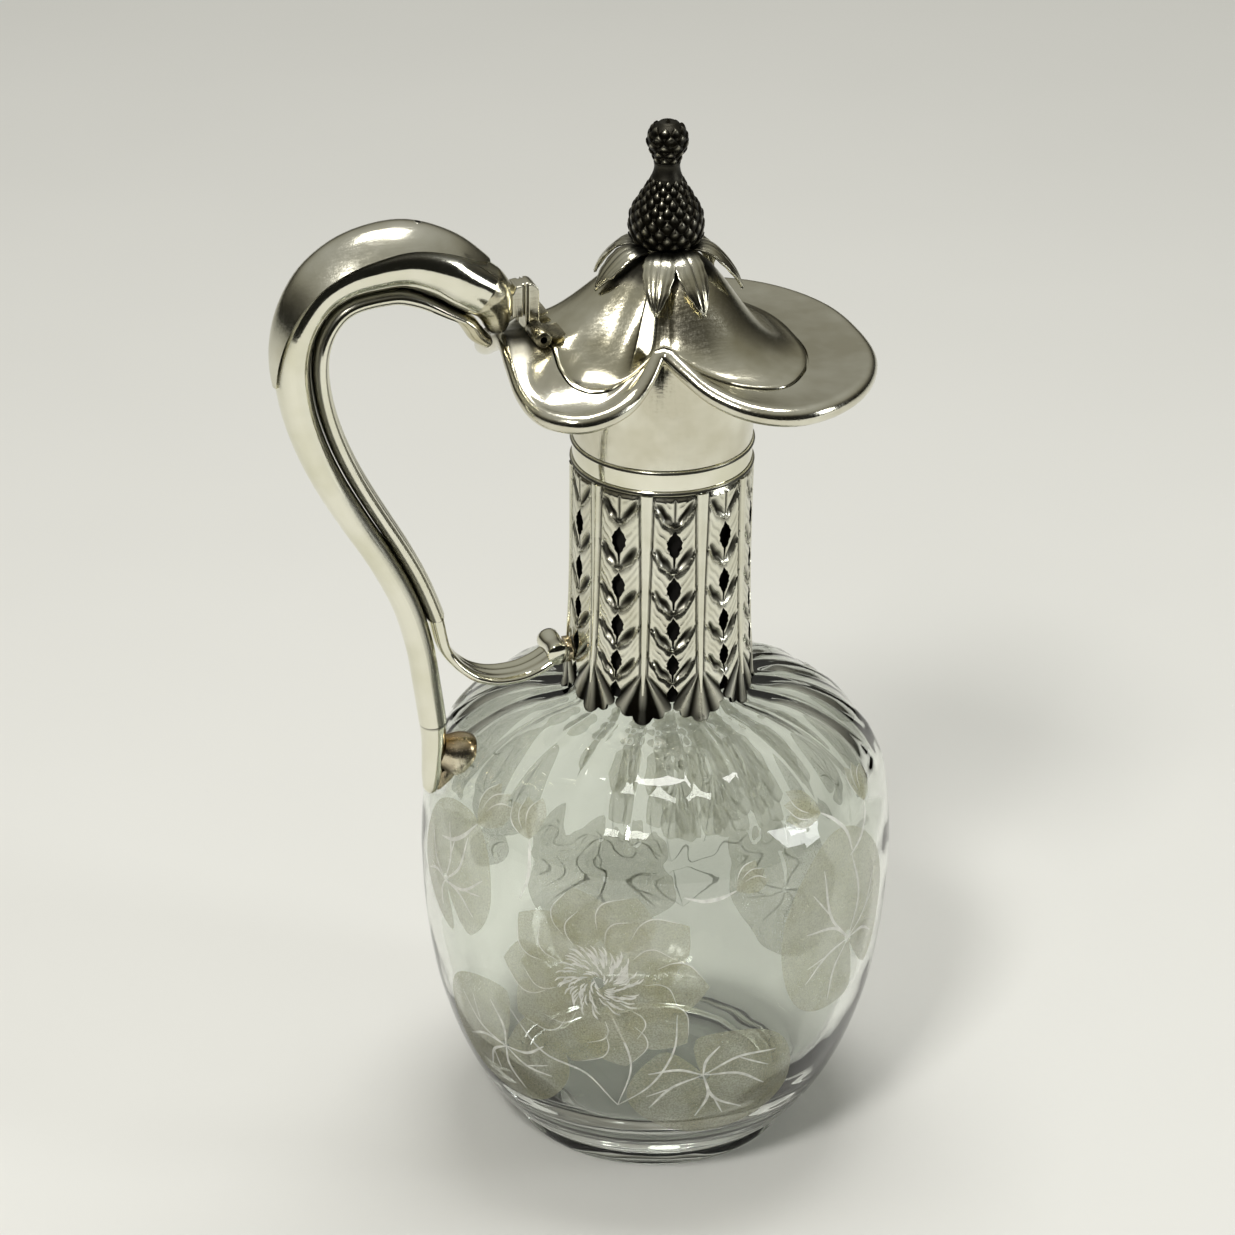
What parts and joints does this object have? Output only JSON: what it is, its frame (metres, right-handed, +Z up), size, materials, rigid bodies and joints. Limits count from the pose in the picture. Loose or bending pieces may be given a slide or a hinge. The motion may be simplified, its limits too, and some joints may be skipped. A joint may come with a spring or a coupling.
{
  "type": "claret jug",
  "caption": "Round-bellied glass claret jug in a silver mount: pierced collar, trefoil pouring lip, hinged domed lid with a bud finial, and a tall scroll handle.",
  "frame": {"origin": "on the jug's axis, in the plane of the foot that it stands on", "axes": "+Z up along the glass body's axis, +X toward the pouring spout, the handle toward -X, and the lid's hinge pin along Y"},
  "size_m": [0.1633, 0.1232, 0.281],
  "materials": {
    "glass": "clear blown glass, cut flutes and matte engraved plants",
    "silver": "hand-polished silver with fine wear",
    "dark_silver": "cast silver left dark in its scales",
    "steel_wire": "drawn wire",
    "base_metal": "plain turned",
    "plaster": "set plaster cement"
  },
  "bodies": {
    "jug": {"glass_foot": "glass", "glass_bowl": "glass", "glass_shoulder": "glass", "glass_neck": "glass", "collar": "silver", "collar_ribs": "silver", "band_wires": "silver", "neck_band": "silver", "neck_plaster": "plaster", "spout_lip": "silver", "hinge_fixed_lug": "silver", "hinge_pin": "steel_wire", "handle_terminal": "silver", "handle_outer_stem": "silver", "handle_inner_stem": "silver", "handle_thumb_leaf": "silver", "handle_strut": "silver", "strut_boss": "silver", "tail_socket": "silver", "socket_plaster": "plaster"},
    "lid": {"lid_shell": "silver", "finial": "dark_silver", "finial_calyx": "silver", "finial_stud": "steel_wire", "finial_washer": "base_metal", "finial_nut": "base_metal", "hinge_lid_knuckles": "silver"}
  },
  "joints": [
    {"name": "lid_hinge", "type": "hinge", "parent": "jug", "child": "lid", "pos_m": [-0.0352, 0, 0.2316], "axis": [0, -1, 0], "range_deg": [0, 66]}
  ]
}
